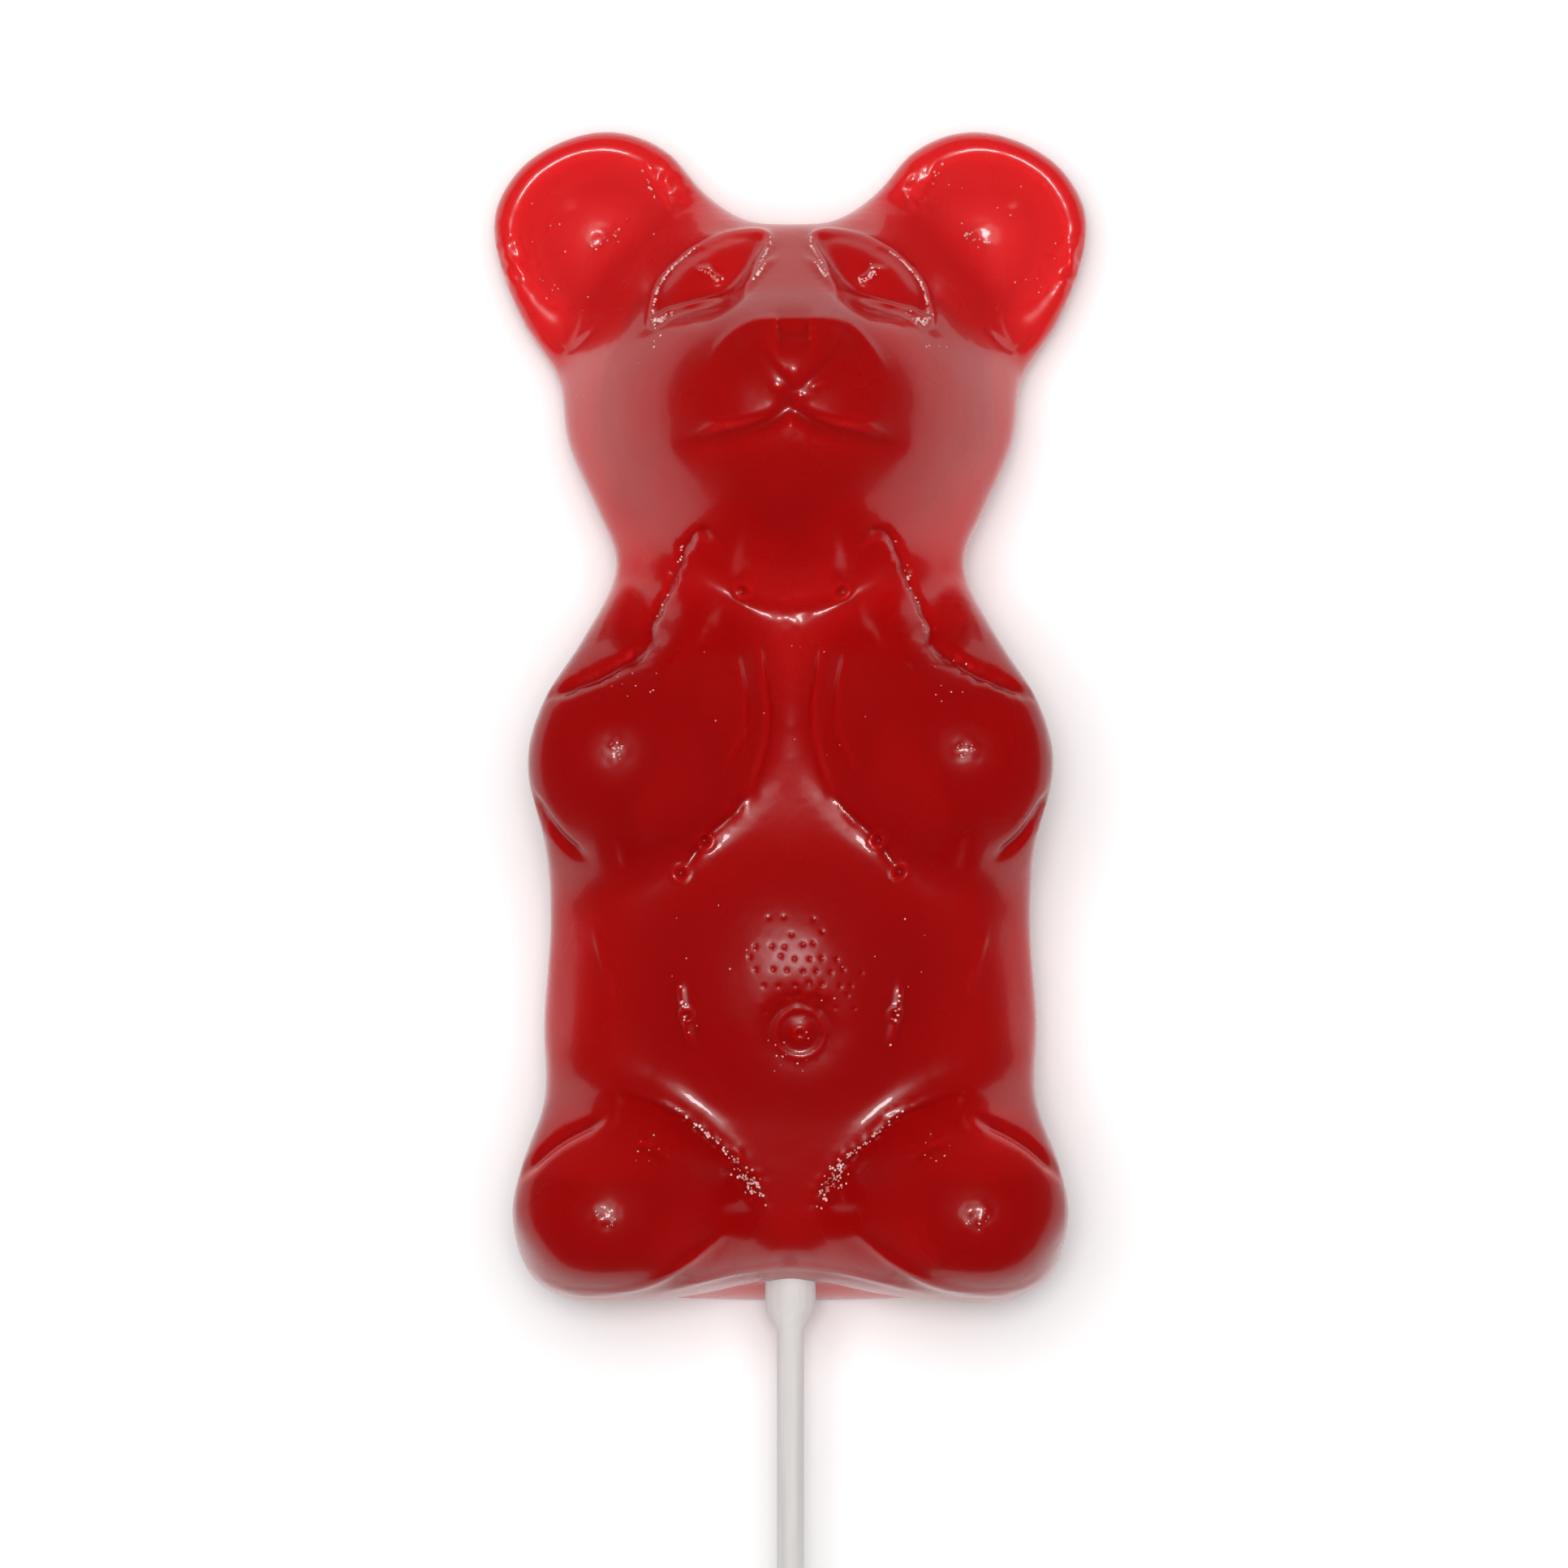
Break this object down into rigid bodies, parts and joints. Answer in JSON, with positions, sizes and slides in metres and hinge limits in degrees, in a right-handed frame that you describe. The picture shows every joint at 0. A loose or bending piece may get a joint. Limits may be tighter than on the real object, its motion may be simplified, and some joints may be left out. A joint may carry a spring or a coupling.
{
  "type": "giant gummy bear on a stick",
  "caption": "Large moulded gummy bear with round ears, short limbs, a round belly and a flat back, on a thin round stick.",
  "frame": {"origin": "middle of the flat back, half way up the bear", "axes": "+Z out of the bear's front, +Y from its feet to its ears, +X to its left paw"},
  "size_m": [0.0592, 0.2066, 0.0373],
  "materials": {
    "gummy": "gloss",
    "stick": "satin"
  },
  "bodies": {
    "root": {"gummy_bear": "gummy", "stick": "stick"}
  },
  "joints": []
}
